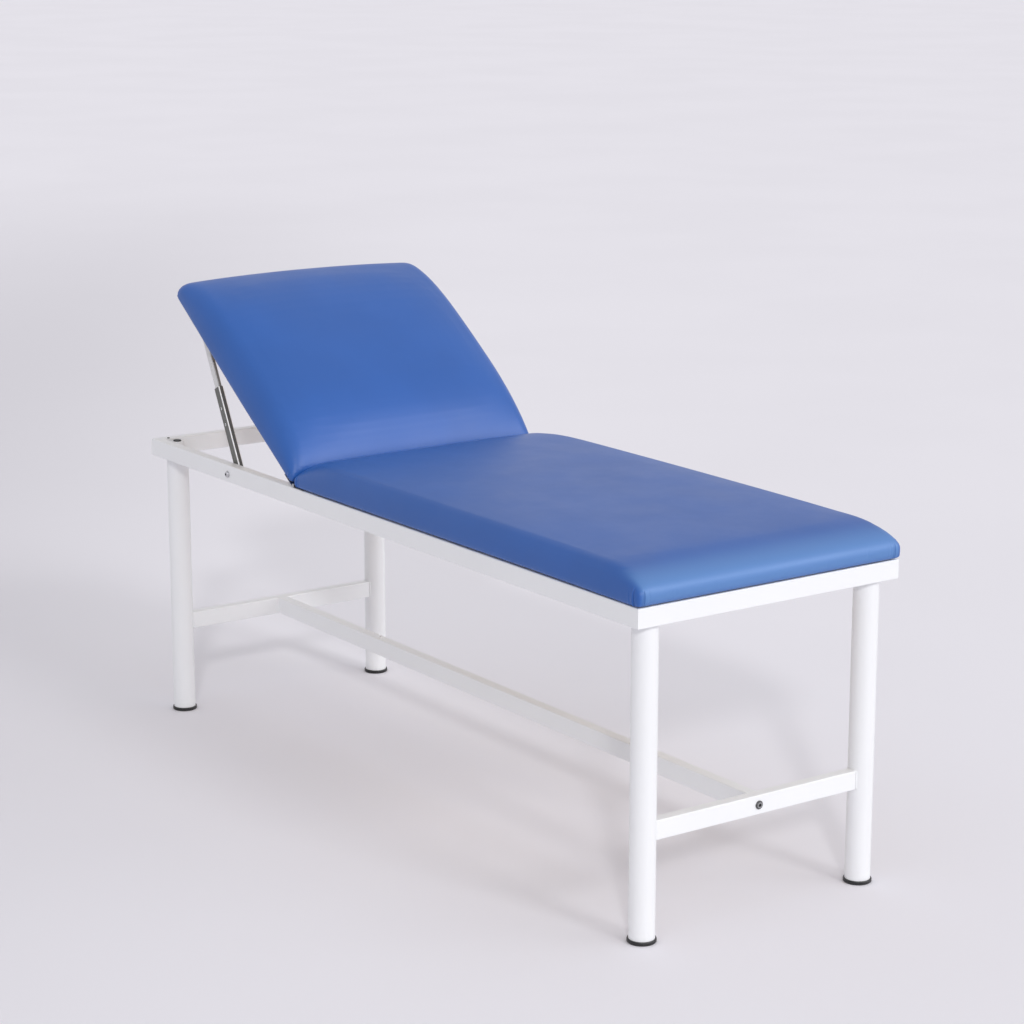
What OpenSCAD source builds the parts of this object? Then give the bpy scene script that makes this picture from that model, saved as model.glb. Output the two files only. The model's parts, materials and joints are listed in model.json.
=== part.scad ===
// Examination table: a steel tube frame on round legs, a padded seat, and a backrest that two
// telescopic ratchet struts hold up. The origin is on the floor under the middle, +X runs to the
// foot end, the near long side is at -Y, and the backrest stands raised as its struts hold it.

/* [Frame] */
// Length of the frame from head to foot
frame_l = 1900; // [1800:10:2000]
// Width of the frame
frame_w = 650; // [600:10:750]
// Height of the rails' top over the floor
rail_top = 674; // [560:1:800]
// Height of the rail tube
rail_h = 40; // [38:1:50]
// Width of the rail tube
rail_w = 25; // [22:1:28]
// Wall of the rectangular tube
tube_wall = 1.5; // [1.2:0.1:2.5]
// Radius of the rectangular tube's corners
tube_r = 2.5; // [2:0.1:3]
// Side of the square cross members under the seat
member_s = 25; // [20:1:30]
// Distance of the first cross member from the hinge axis
first_member_gap = 55; // [45:1:90]
// Distance of the last cross member from the foot end
last_member_gap = 180; // [120:5:300]
// Distance of the seat screws from the middle line
seat_screw_y = 180; // [100:5:220]

/* [Legs] */
// Outer diameter of the leg tube
leg_d = 52; // [46:1:54]
// Wall of the leg tube
leg_wall = 2; // [1.5:0.1:3]
// Distance of a leg's axis from the frame's end
leg_in_x = 39.5; // [39.5:0.5:48]
// Distance of a leg's axis from the frame's side
leg_in_y = 48; // [42:0.5:60]
// Thickness of the plate in each corner of the frame
corner_plate_t = 5; // [4:0.5:8]
// Length of a corner plate along the frame
corner_plate_l = 70; // [60:1:90]
// Width of a corner plate across the frame
corner_plate_w = 75; // [60:1:90]
// Thickness of the threaded plate in a leg's top
leg_plate_t = 8; // [5:0.5:12]
// Outer diameter of the boss over a leg
boss_d = 28; // [26:0.5:29]
// Height of the boss over a leg
boss_h = 30; // [22:1:31]
// Diameter of the bolt that holds a leg
leg_bolt_d = 10; // [8:1:12]
// Height of the glide under a leg
glide_h = 8; // [6:1:15]
// How far a glide stands out round its leg
glide_lip = 3; // [1:0.5:5]
// Depth of a glide's plug in the leg
glide_plug = 25; // [15:1:40]

/* [Stretchers] */
// Height of the stretchers' top over the floor
stretcher_top = 242; // [150:1:350]
// Height of the stretcher tube
stretcher_h = 40; // [30:1:50]
// Width of the stretcher tube
stretcher_w = 25; // [20:1:30]
// Diameter of the bolts through the end stretchers
stretcher_bolt_d = 10; // [8:1:10]
// Thickness of the threaded plates in the long stretcher's ends
end_plate_t = 8; // [5:0.5:12]
// Distance of the small plug on the long stretcher from the frame's head end
plug_from_head = 502; // [200:1:800]

/* [Cushions] */
// Distance of the hinge axis from the frame's head end
hinge_from_head = 660; // [620:5:720]
// Angle of the raised backrest
back_angle = 35; // [25:1:35]
// How far the cushions stand out past the rails on each side
cushion_over = 2; // [0:0.5:4]
// Height of the cushions' underside over the rails, with the backrest lowered
cushion_gap = 2; // [2:0.5:4]
// Distance of each cushion's end from the hinge axis
joint_gap = 8; // [7:0.5:14]
// Distance of the lowered backrest's head corners from the frame's end
head_gap = 20; // [12:1:40]
// Thickness of the boards
board_t = 18; // [16:1:18]
// Thickness of the vinyl cover
cover_t = 1.2; // [1:0.1:1.6]
// How far the cushions' sides draw in at the base
base_in = 3; // [2:0.5:6]
// Radius of the cushions' corners beside the hinges
joint_corner_r = 8; // [5:1:12]

/* [Seat cushion] */
// Height of the seat's upright side
seat_side_h = 26; // [20:1:26]
// Height of the seat inside its rounded edge
seat_top = 66.5; // [54:0.5:68]
// How much higher the middle of the seat stands
seat_crown = 13; // [5:1:18]
// Width of the seat's rounded edge at its ends
seat_end_edge = 124; // [110:2:200]
// Width of the seat's rounded edge at its long sides
seat_side_edge = 22; // [16:1:60]
// How far the middle of the seat's long sides stands out
seat_bow = 1.5; // [0.5:0.5:6]
// How far the middle of the seat's outer end stands out
seat_end_bow = 0; // [0:0.5:6]
// Radius of the seat's outer corners
seat_corner_r = 6; // [5:1:25]

/* [Backrest cushion] */
// Height of the backrest's upright side
back_side_h = 14; // [13:1:16]
// Height of the backrest inside its rounded edge
back_top = 75.5; // [56:0.5:77]
// How much higher the middle of the backrest stands
back_crown = 30; // [5:1:32]
// Width of the backrest's rounded edge at its ends
back_end_edge = 232; // [200:4:280]
// Width of the backrest's rounded edge at its long sides
back_side_edge = 40; // [25:1:60]
// How far the middle of the backrest's long sides stands out
back_bow = 6; // [1:0.5:9]
// How far the middle of the backrest's outer end stands out
back_end_bow = 12; // [0:0.5:14]
// Radius of the backrest's outer corners
back_corner_r = 28; // [10:1:40]

/* [Struts] */
// Distance of the strut's lower pivot from the hinge axis, along the frame
pivot_from_hinge = 290; // [280:0.5:300]
// Distance of the strut's lower pivot under the rails' top
pivot_drop = 21.2; // [19:0.1:22]
// Distance of the strut's upper eye from the hinge axis, along the backrest
eye_from_hinge = 541; // [535:1:550]
// Distance of the strut's upper eye under the backrest cushion
eye_drop = 14.5; // [14:0.1:16]
// Width of the outer channel
outer_w = 24; // [22:0.5:24.5]
// Thickness of the outer channel across the table
outer_t = 13; // [12:0.5:14]
// Wall of the outer channel
outer_wall = 1.5; // [1.2:0.1:1.6]
// Length of the outer channel beyond its pivot
outer_l = 206; // [190:1:215]
// Length of the inner bar under its eye
inner_l = 225; // [215:1:235]
// Wall of the inner bar
inner_wall = 1.5; // [1:0.1:2]
// Clearance of the inner bar in the channel, on each side
slide_clear = 0.5; // [0.3:0.05:0.6]
// Diameter of the pivot bolt and the upper pin
pivot_d = 6; // [5:0.5:7]
// Space between the side rail and the strut
strut_space = 2; // [1.5:0.1:4]

/* [Hidden] */

// Small sizes that several pieces share
over = 1;
fit = 0.1;
run_fit = 0.06;
hinge_play = 0.3;
screw_d = 4;
screw_head_d = 7.2;
$fn = 48;

// Frame and legs
fx = frame_l / 2;
fy = frame_w / 2;
leg_x = fx - leg_in_x;
leg_y = fy - leg_in_y;
frame_z = rail_top - rail_h;
inner_x = fx - rail_w;
inner_y = fy - rail_w;
corner_chamfer = 20;
bolt_head_wide = 6;
bolt_head_h = 6;
bolt_head_d = leg_bolt_d + bolt_head_wide;
boss_top = frame_z + corner_plate_t + boss_h;
cap_over = 1.5;
cap_h = 3;
cap_d = bolt_head_d + 2 * cap_over;
cap_edge = 0.8;
cap_stem = 1.4;
counterbore = bolt_head_h + cap_stem + 2 * fit;
glide_wall = 3;
glide_edge = 1.5;
buffer_d = 6;
buffer_h = cushion_gap - hinge_play;
buffer_edge = 1.5;
buffer_in = rail_w - buffer_d / 2 - buffer_edge;
buffer_side = 34.5;

// Stretchers
long_x = leg_x - stretcher_w / 2;
bolt_z = stretcher_top - stretcher_h / 2;
button_wide = 7.5;
button_d = stretcher_bolt_d + button_wide;
button_h = 3.4;
button_edge = 1.8;
socket_share = 0.6;
socket_deep = 2.4;
plug_x = plug_from_head - fx;
plug_d = 5;
plug_h = 4;
plug_edge = 1;
plug_stem_d = 4;
plug_stem = 4;

// Hinge
knuckle_r = 4.5;
knuckle_gap = 0.5;
leaf_t = cushion_gap - hinge_play;
leaf_l = 40;
leaf_w = 23;
leaf_side = 1;
knuckle_n = 3;
pin_d = 4;
knuckle_clear = 0.4;
knuckle_l = leaf_w / knuckle_n;
hinge_x = hinge_from_head - fx;
hinge_z = rail_top + knuckle_r + knuckle_gap;
leaf_y = fy - leaf_side - leaf_w;
leaf_screws = [22, 34];
leaf_screw_y = leaf_y + leaf_w / 2;
rail_screw_l = 9;
board_screw_l = 14;

// Cushions
cushion_z = rail_top + cushion_gap;
board_z = cushion_z + cover_t;
widest_h = 12;
flange_w = 18;
foam_wrap = 2;
edge_power = 2.2;
crown_power = 4;
seat_hl = (fx - seat_end_bow - hinge_x - joint_gap) / 2;
seat_x = hinge_x + joint_gap + seat_hl;
back_hl = (hinge_from_head - joint_gap - head_gap) / 2;
back_x = hinge_x - joint_gap - back_hl;
half_w = fy + cushion_over;
member_n = 3;
member_first = hinge_x + first_member_gap;
member_last = fx - last_member_gap;
seat_screw_d = 5;
seat_screw_head_d = 9;
seat_screw_head_h = 3;
seat_screw_in = 12;
pad_d = 24;

// Struts, with their places worked out from the pivots
pivot_x = hinge_x - pivot_from_hinge;
pivot_z = rail_top - pivot_drop;
strut_in = rail_w + strut_space + outer_t / 2;
strut_y = fy - strut_in;
eye_flat = [hinge_x - eye_from_hinge, cushion_z - eye_drop];
eye_dx = eye_flat[0] - hinge_x;
eye_dz = eye_flat[1] - hinge_z;
eye_x = hinge_x + eye_dx * cos(back_angle) + eye_dz * sin(back_angle);
eye_z = hinge_z - eye_dx * sin(back_angle) + eye_dz * cos(back_angle);
strut_l = norm([eye_x - pivot_x, eye_z - pivot_z]);
strut_angle = atan2(eye_z - pivot_z, pivot_x - eye_x);
outer_r = 3.2;
inner_w = outer_w - 2 * outer_wall - 2 * slide_clear;
inner_t = outer_t - 2 * outer_wall - 2 * slide_clear;
inner_r = 2.4;
notch_n = 7;
notch_l = 8;
notch_w = 6;
notch_pitch = 14;
notch_first = 14;
spring_t = 0.8;
spring_l = 66;
spring_w = 11;
tooth_l = 7;
tooth_w = 5;
tooth_play = 0.2;
spring_x = strut_l - inner_l + notch_first + (notch_l + tooth_l) / 2 - spring_l;
window_play = 0.5;
rivet_d = 5;
rivet_h = 1;
dome_d = 13;
dome_h = 3.5;
nut_t = 5;
nut_play = 0.3;
nut_share = 1.9;
bolt_tip = 2;
spacer_d = 12;
spacer_play = 0.1;
ear_gap = 1.3;
ear_t = 2;
ear_r = 12;
bracket_t = 2;
bracket_l = 84;
bracket_w = 2 * (inner_t / 2 + ear_gap + ear_t);
bracket_screw = 34;
bracket_screw_head_h = 1.8;
bracket_screw_in = 10;
pin_play = 0.3;

// Colours
paint = [0.93, 0.94, 0.95];
vinyl = [0.24, 0.40, 0.70];
black = [0.10, 0.10, 0.11];
steel = [0.62, 0.63, 0.64];
wood = [0.72, 0.58, 0.42];
foam = [0.93, 0.88, 0.70];

// Helpers

module far() {
    mirror([0, 1, 0]) children();
}

module both() {
    children();
    far() children();
}

module four() {
    both() {
        children();
        mirror([1, 0, 0]) children();
    }
}

// A round bar along +Y from the origin
module bar_y(d, l) {
    rotate([-90, 0, 0]) cylinder(d = d, h = l);
}

// A round bar along +X from the origin
module bar_x(d, l) {
    rotate([0, 90, 0]) cylinder(d = d, h = l);
}

// A rectangle about the origin with rounded corners, in plan
module rounded(l, w, r) {
    square([l - 2 * r, w], center = true);
    square([l, w - 2 * r], center = true);
    for (x = [-1, 1], y = [-1, 1])
        translate([x * (l / 2 - r), y * (w / 2 - r)]) circle(r = r);
}

// A rectangular tube along +X, centred across, with rounded outer corners
module tube_x(l, w, h) {
    rotate([90, 0, 90]) linear_extrude(l) difference() {
        rounded(w, h, tube_r);
        square([w - 2 * tube_wall, h - 2 * tube_wall], center = true);
    }
}

// What rides on the backrest is made lowered and turned up about the hinge axis
module raised() {
    translate([hinge_x, 0, hinge_z]) rotate([0, back_angle, 0])
        translate([-hinge_x, 0, -hinge_z]) children();
}

// The near strut's own frame: +X runs from its lower pivot to its upper eye
module along_strut() {
    translate([pivot_x, -strut_y, pivot_z]) rotate([0, strut_angle - 180, 0]) children();
}

// Frame

module mitred_rail(length) {
    intersection() {
        translate([-length / 2, rail_w / 2, rail_h / 2]) tube_x(length, rail_w, rail_h);
        translate([0, 0, -over]) linear_extrude(rail_h + 2 * over)
            polygon([[-length / 2, 0], [length / 2, 0],
                [length / 2 - rail_w, rail_w], [rail_w - length / 2, rail_w]]);
    }
}

module side_rail() {
    color(paint) difference() {
        translate([0, -fy, frame_z]) mitred_rail(frame_l);
        translate([pivot_x, -fy - over, pivot_z]) bar_y(pivot_d + 2 * fit, rail_w + 2 * over);
        for (s = leaf_screws)
            translate([hinge_x + s, -leaf_screw_y, rail_top - tube_wall - over])
                cylinder(d = screw_d + 2 * fit, h = tube_wall + 2 * over);
    }
}

module side_rail_near() {
    side_rail();
}

module side_rail_far() {
    far() side_rail();
}

module head_rail() {
    color(paint) translate([-fx, 0, frame_z]) rotate([0, 0, -90]) mitred_rail(frame_w);
}

module foot_rail() {
    color(paint) translate([fx, 0, frame_z]) rotate([0, 0, 90]) mitred_rail(frame_w);
}

function member_x(k) = member_first + (member_last - member_first) * k / (member_n - 1);

module at_seat_screws() {
    for (k = [0:member_n - 1], y = [-1, 1])
        translate([member_x(k), y * seat_screw_y, 0]) children();
}

module cross_members() {
    color(paint) difference() {
        for (k = [0:member_n - 1])
            translate([member_x(k), -inner_y, rail_top - member_s / 2]) rotate([0, 0, 90])
                tube_x(2 * inner_y, member_s, member_s);
        at_seat_screws() translate([0, 0, rail_top - member_s - over])
            cylinder(d = seat_screw_d + 2 * fit, h = member_s + 2 * over);
    }
}

// Corners and legs, each made at the near head corner

module corner_plates() {
    color(paint) four() translate([-inner_x, -inner_y, frame_z]) difference() {
        linear_extrude(corner_plate_t) polygon([[0, 0], [corner_plate_l, 0],
            [corner_plate_l, corner_plate_w - corner_chamfer],
            [corner_plate_l - corner_chamfer, corner_plate_w], [0, corner_plate_w]]);
        translate([inner_x - leg_x, inner_y - leg_y, -over])
            cylinder(d = leg_bolt_d + 2 * fit, h = corner_plate_t + 2 * over);
    }
}

module corner_bosses() {
    color(paint) four() translate([-leg_x, -leg_y, boss_top - boss_h]) difference() {
        cylinder(d = boss_d, h = boss_h);
        translate([0, 0, -over]) cylinder(d = leg_bolt_d + 2 * fit, h = boss_h + 2 * over);
        translate([0, 0, boss_h - counterbore])
            cylinder(d = bolt_head_d + 2 * fit, h = counterbore + over);
    }
}

module leg_bolts() {
    shank = boss_top - counterbore - frame_z + leg_plate_t;
    color(steel) four() translate([-leg_x, -leg_y, boss_top - counterbore]) {
        cylinder(d = bolt_head_d, h = bolt_head_h);
        translate([0, 0, -shank]) cylinder(d = leg_bolt_d, h = shank);
    }
}

module boss_caps() {
    color(black) four() translate([-leg_x, -leg_y, boss_top]) {
        cylinder(d = cap_d, h = cap_h - cap_edge);
        translate([0, 0, cap_h - cap_edge])
            cylinder(d1 = cap_d, d2 = cap_d - 2 * cap_edge, h = cap_edge);
        translate([0, 0, -cap_stem]) cylinder(d = bolt_head_d, h = cap_stem);
    }
}

module rest_buffers() {
    color(black) both() translate([buffer_in - fx, buffer_side - fy, rail_top])
        cylinder(d = buffer_d, h = buffer_h);
}

module leg(x, y) {
    color(paint) translate([x * leg_x, y * leg_y, glide_h]) difference() {
        cylinder(d = leg_d, h = frame_z - glide_h);
        translate([0, 0, -over]) cylinder(d = leg_d - 2 * leg_wall, h = frame_z - glide_h + 2 * over);
    }
}

module leg_head_near() {
    leg(-1, -1);
}

module leg_head_far() {
    leg(-1, 1);
}

module leg_foot_near() {
    leg(1, -1);
}

module leg_foot_far() {
    leg(1, 1);
}

module leg_plates() {
    color(steel) four() translate([-leg_x, -leg_y, frame_z - leg_plate_t]) difference() {
        cylinder(d = leg_d - 2 * leg_wall - 2 * fit, h = leg_plate_t);
        translate([0, 0, -over]) cylinder(d = leg_bolt_d + 2 * fit, h = leg_plate_t + 2 * over);
    }
}

module glide(x, y) {
    outer = leg_d + 2 * glide_lip;
    plug = leg_d - 2 * leg_wall - 2 * fit;
    color(black) translate([x * leg_x, y * leg_y, 0]) difference() {
        union() {
            cylinder(d1 = outer - 2 * glide_edge, d2 = outer, h = glide_edge);
            translate([0, 0, glide_edge]) cylinder(d = outer, h = glide_h - 2 * glide_edge);
            translate([0, 0, glide_h - glide_edge])
                cylinder(d1 = outer, d2 = outer - glide_edge, h = glide_edge);
            cylinder(d = plug, h = glide_h + glide_plug);
        }
        translate([0, 0, glide_h])
            cylinder(d = plug - 2 * glide_wall, h = glide_plug + over);
    }
}

module glide_head_near() {
    glide(-1, -1);
}

module glide_head_far() {
    glide(-1, 1);
}

module glide_foot_near() {
    glide(1, -1);
}

module glide_foot_far() {
    glide(1, 1);
}

// Stretchers

// An end stretcher, coped onto both legs, on the side that the sign gives
module end_stretcher(side) {
    color(paint) difference() {
        translate([side * leg_x, -leg_y, bolt_z]) rotate([0, 0, 90])
            tube_x(2 * leg_y, stretcher_w, stretcher_h);
        for (y = [-1, 1])
            translate([side * leg_x, y * leg_y, stretcher_top - stretcher_h - over])
                cylinder(d = leg_d + 2 * fit, h = stretcher_h + 2 * over);
        translate([side * leg_x - stretcher_w / 2 - over, 0, bolt_z])
            bar_x(stretcher_bolt_d + 2 * fit, stretcher_w + 2 * over);
    }
}

module head_stretcher() {
    end_stretcher(-1);
}

module foot_stretcher() {
    end_stretcher(1);
}

module long_stretcher() {
    color(paint) difference() {
        translate([-long_x, 0, bolt_z]) tube_x(2 * long_x, stretcher_w, stretcher_h);
        translate([plug_x, 0, stretcher_top - tube_wall - over])
            cylinder(d = plug_stem_d + 2 * fit, h = tube_wall + 2 * over);
    }
}

module stretcher_plates() {
    w = stretcher_w - 2 * tube_wall - 2 * fit;
    h = stretcher_h - 2 * tube_wall - 2 * fit;
    color(steel) for (side = [0, 1]) mirror([side, 0, 0])
        translate([long_x - end_plate_t, 0, bolt_z]) difference() {
            translate([0, -w / 2, -h / 2]) cube([end_plate_t, w, h]);
            translate([-over, 0, 0]) bar_x(stretcher_bolt_d + 2 * fit, end_plate_t + 2 * over);
        }
}

module stretcher_bolt() {
    shank = stretcher_w + end_plate_t;
    color(black) translate([leg_x + stretcher_w / 2, 0, bolt_z]) {
        translate([-shank, 0, 0]) bar_x(stretcher_bolt_d, shank);
        difference() {
            union() {
                bar_x(button_d, button_h - button_edge);
                translate([button_h - button_edge, 0, 0]) rotate([0, 90, 0])
                    cylinder(d1 = button_d, d2 = button_d - 2 * button_edge, h = button_edge);
            }
            translate([button_h - socket_deep, 0, 0]) rotate([0, 90, 0])
                cylinder(d = stretcher_bolt_d * socket_share, h = socket_deep + over, $fn = 6);
        }
    }
}

module stretcher_bolt_head() {
    mirror([1, 0, 0]) stretcher_bolt();
}

module stretcher_bolt_foot() {
    stretcher_bolt();
}

module stretcher_plug() {
    color(paint) translate([plug_x, 0, stretcher_top]) {
        cylinder(d = plug_d, h = plug_h - plug_edge);
        translate([0, 0, plug_h - plug_edge])
            cylinder(d1 = plug_d, d2 = plug_d - 2 * plug_edge, h = plug_edge);
        translate([0, 0, -plug_stem]) cylinder(d = plug_stem_d, h = plug_stem);
    }
}

// Cushions

// Each cushion's form: half its length, the heights of its side and top, its crown, the widths of
// its rounded edge at the ends and at the long sides, the bows of its long sides and of its outer
// end, the radius of its outer corners, and the sign of its outer end
seat_shape = [seat_hl, seat_side_h, seat_top, seat_crown, seat_end_edge, seat_side_edge,
    seat_bow, seat_end_bow, seat_corner_r, 1];
back_shape = [back_hl, back_side_h, back_top, back_crown, back_end_edge, back_side_edge,
    back_bow, back_end_bow, back_corner_r, -1];

// Places of the form's grid lines, as shares of the rounded edge from a side inwards, and as
// shares of the distance between the edges from the middle
edge_shares = [0, 0.015, 0.06, 0.16, 0.34, 0.62, 1];
long_shares = [-0.5, 0, 0.5];
cross_shares = [-0.84, -0.58, -0.29, 0, 0.29, 0.58, 0.84];

function lines(half, edge, middle_shares) = concat(
    [for (share = edge_shares) share * edge - half],
    [for (share = middle_shares) share * (half - edge)],
    [for (k = [len(edge_shares) - 1:-1:0]) half - edge_shares[k] * edge]);

// Share of the edge's height at a share k of its width
function rise(k) = pow(1 - pow(1 - min(max(k, 0), 1), edge_power), 1 / edge_power);

// Height of the padded top at a place, over the cushion's underside
function top_z(x, y, f, hl, hw, t) = f[1]
    + (f[2] - f[1] - t) * rise((hl - abs(x)) / f[4]) * rise((hw - abs(y)) / f[5])
    + f[3] * (1 - pow(x / hl, 2)) * (1 - pow(abs(y) / hw, crown_power));

// A square corner of the plan rounded off
function curved(x, y, f, hl, hw) =
    let (r = f[9] * x < 0 ? joint_corner_r : f[8],
        dx = max(0, abs(x) - hl + r) / r, dy = max(0, abs(y) - hw + r) / r)
    [sign(x) * (abs(x) - dx * r + r * dx * sqrt(1 - dy * dy / 2)),
        sign(y) * (abs(y) - dy * r + r * dy * sqrt(1 - dx * dx / 2))];

// The middle of both sides and of the outer end stands out
function bowed(p, f, hl, hw) = [
    p[0] + f[9] * f[7] * (1 - pow(p[1] / hw, 2)) * max(0, f[9] * p[0] / hl),
    p[1] + f[6] * (1 - pow(p[0] / hl, 2)) * p[1] / hw];

// The k-th place round the grid's edge, from the +X side anticlockwise, as grid steps
function edge(k, nx, ny) =
    k < ny ? [nx, k] :
    k < ny + nx ? [nx - k + ny, ny] :
    k < 2 * ny + nx ? [0, 2 * ny + nx - k] : [k - 2 * ny - nx, 0];

// The padded form: a crowned top with rounded edges over a side that draws in to the base.
// t draws the whole form in, as the cover's thickness does.
module form(f, t) {
    hl = f[0] - t;
    hw = half_w - t;
    xs = lines(hl, f[4], long_shares);
    ys = lines(hw, f[5], cross_shares);
    nx = len(xs) - 1;
    ny = len(ys) - 1;
    n = 2 * (nx + ny);
    top = (nx + 1) * (ny + 1);
    in_x = (hl - base_in) / hl;
    in_y = (hw - base_in) / hw;
    points = concat(
        [for (x = xs, y = ys)
            let (p = bowed(curved(x, y, f, hl, hw), f, hl, hw))
            [p[0], p[1], top_z(x, y, f, hl, hw, t)]],
        [for (k = [0:n - 1])
            let (e = edge(k, nx, ny), p = bowed(curved(xs[e[0]], ys[e[1]], f, hl, hw), f, hl, hw))
            [p[0], p[1], widest_h]],
        [for (k = [0:n - 1])
            let (e = edge(k, nx, ny), p = curved(xs[e[0]], ys[e[1]], f, hl, hw))
            [p[0] * in_x, p[1] * in_y, t]]);
    rim = [for (k = [0:n - 1]) let (e = edge(k, nx, ny)) e[0] * (ny + 1) + e[1]];
    faces = concat(
        [for (i = [0:nx - 1], j = [0:ny - 1], half = [0, 1])
            let (a = i * (ny + 1) + j, b = a + ny + 1)
            half == 0 ? [a, a + 1, b + 1] : [a, b + 1, b]],
        [for (k = [0:n - 1], half = [0, 1])
            let (m = (k + 1) % n)
            half == 0 ? [top + k, rim[k], rim[m]] : [top + k, rim[m], top + m]],
        [for (k = [0:n - 1], half = [0, 1])
            let (m = (k + 1) % n)
            half == 0 ? [top + n + k, top + k, top + m] : [top + n + k, top + m, top + n + m]],
        [[for (k = [0:n - 1]) top + n + k]]);
    polyhedron(points = points, faces = faces, convexity = 4);
}

module board_plan(f) {
    inset = base_in + cover_t + foam_wrap;
    l = f[0] - inset;
    w = 2 * (half_w - inset);
    rounded(2 * l, w, f[8]);
    translate([-f[9] * l / 2, 0]) rounded(l, w, joint_corner_r);
}

module cover(f) {
    inset = base_in + flange_w;
    difference() {
        form(f, 0);
        form(f, cover_t);
        translate([0, 0, -over]) linear_extrude(cover_t + 2 * over)
            square([2 * (f[0] - inset), 2 * (half_w - inset)], center = true);
    }
}

module filling(f) {
    difference() {
        form(f, cover_t);
        translate([0, 0, -over]) linear_extrude(cover_t + board_t + over) board_plan(f);
    }
}

module seat_board() {
    color(wood) difference() {
        translate([seat_x, 0, board_z]) linear_extrude(board_t) board_plan(seat_shape);
        at_seat_screws() translate([0, 0, board_z - over])
            cylinder(d = seat_screw_d + 2 * fit, h = seat_screw_in + over);
    }
}

module seat_foam() {
    color(foam) translate([seat_x, 0, cushion_z]) filling(seat_shape);
}

module seat_cover() {
    color(vinyl) translate([seat_x, 0, cushion_z]) cover(seat_shape);
}

module seat_pads() {
    color(black) at_seat_screws() translate([0, 0, rail_top]) difference() {
        cylinder(d = pad_d, h = board_z - rail_top);
        translate([0, 0, -over])
            cylinder(d = seat_screw_d + 2 * fit, h = board_z - rail_top + 2 * over);
    }
}

module seat_screws() {
    base = rail_top - member_s;
    color(steel) at_seat_screws() {
        translate([0, 0, base - seat_screw_head_h])
            cylinder(d = seat_screw_head_d, h = seat_screw_head_h);
        translate([0, 0, base]) cylinder(d = seat_screw_d, h = board_z + seat_screw_in - base);
    }
}

// Places of the screws through the moving hinge leaves and the strut brackets, backrest lowered
module at_leaf_screws() {
    both() for (s = leaf_screws) translate([hinge_x - s, -leaf_screw_y, 0]) children();
}

module at_bracket_screws() {
    both() for (s = [-1, 1])
        translate([eye_flat[0] + s * bracket_screw, -strut_y, 0]) children();
}

module back_board() {
    color(wood) raised() difference() {
        translate([back_x, 0, board_z]) linear_extrude(board_t) board_plan(back_shape);
        at_leaf_screws() translate([0, 0, board_z - over])
            cylinder(d = screw_d + 2 * fit, h = board_screw_l + over);
        at_bracket_screws() translate([0, 0, board_z - over])
            cylinder(d = screw_d + 2 * fit, h = bracket_screw_in + over);
    }
}

module back_foam() {
    color(foam) raised() translate([back_x, 0, cushion_z]) filling(back_shape);
}

module back_cover() {
    color(vinyl) raised() difference() {
        translate([back_x, 0, cushion_z]) cover(back_shape);
        at_leaf_screws() translate([0, 0, cushion_z - over])
            cylinder(d = screw_d + 2 * fit, h = cover_t + 2 * over);
    }
}

// Hinges: the fixed leaf is screwed to the rail, the moving one to the backrest's board

// Place of the k-th knuckle's near end over the leaf's near end
function knuckle_y(k) = k * knuckle_l + knuckle_clear / 2;

// Knuckles of one leaf, from the first one that is its own, in steps of two
module knuckles(first, d) {
    for (k = [first:2:knuckle_n - 1])
        translate([0, knuckle_y(k), 0]) bar_y(d, knuckle_l - knuckle_clear);
}

// A leaf along +X from the hinge axis, cut back where the other leaf's knuckles turn
module leaf(first, z) {
    difference() {
        union() {
            translate([0, 0, z]) cube([leaf_l, leaf_w, leaf_t]);
            knuckles(first, 2 * knuckle_r);
        }
        for (k = [1 - first:2:knuckle_n - 1])
            translate([-knuckle_r, k * knuckle_l - knuckle_clear / 2, -2 * knuckle_r])
                cube([2 * knuckle_r + knuckle_clear, knuckle_l + knuckle_clear, 4 * knuckle_r]);
        translate([0, -over, 0]) bar_y(pin_d + 2 * run_fit, leaf_w + 2 * over);
        for (s = leaf_screws)
            translate([s, leaf_w / 2, z - over]) cylinder(d = screw_d + 2 * fit, h = leaf_t + 2 * over);
    }
}

module sink(z, up) {
    translate([0, 0, z]) mirror([0, 0, up])
        cylinder(d1 = screw_head_d + 2 * fit, d2 = screw_d + 2 * fit, h = leaf_t);
}

module hinge_fixed_leaves() {
    color(steel) both() translate([hinge_x, -leaf_y - leaf_w, hinge_z]) difference() {
        leaf(0, rail_top - hinge_z);
        for (s = leaf_screws)
            translate([s, leaf_w / 2, 0]) sink(rail_top + leaf_t - hinge_z, 1);
    }
}

module hinge_moving_leaves() {
    low = rail_top + hinge_play - hinge_z;
    color(steel) raised() both() translate([hinge_x, -leaf_y - leaf_w, hinge_z])
        mirror([1, 0, 0]) difference() {
            leaf(1, low);
            for (s = leaf_screws) translate([s, leaf_w / 2, 0]) sink(low, 0);
        }
}

module hinge_pins() {
    color(steel) both() translate([hinge_x, -leaf_y - leaf_w, hinge_z]) bar_y(pin_d, leaf_w);
}

// A countersunk screw with its head's face at the origin, driven along -Z
module sunk_screw(l) {
    translate([0, 0, -leaf_t]) cylinder(d1 = screw_d, d2 = screw_head_d, h = leaf_t);
    translate([0, 0, -l]) cylinder(d = screw_d, h = l);
}

module hinge_rail_screws() {
    color(steel) both() for (s = leaf_screws)
        translate([hinge_x + s, -leaf_screw_y, rail_top + leaf_t]) sunk_screw(rail_screw_l);
}

module hinge_board_screws() {
    color(steel) raised() at_leaf_screws()
        translate([0, 0, rail_top + hinge_play]) mirror([0, 0, 1]) sunk_screw(board_screw_l);
}

// Struts, each made at the near side

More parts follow.
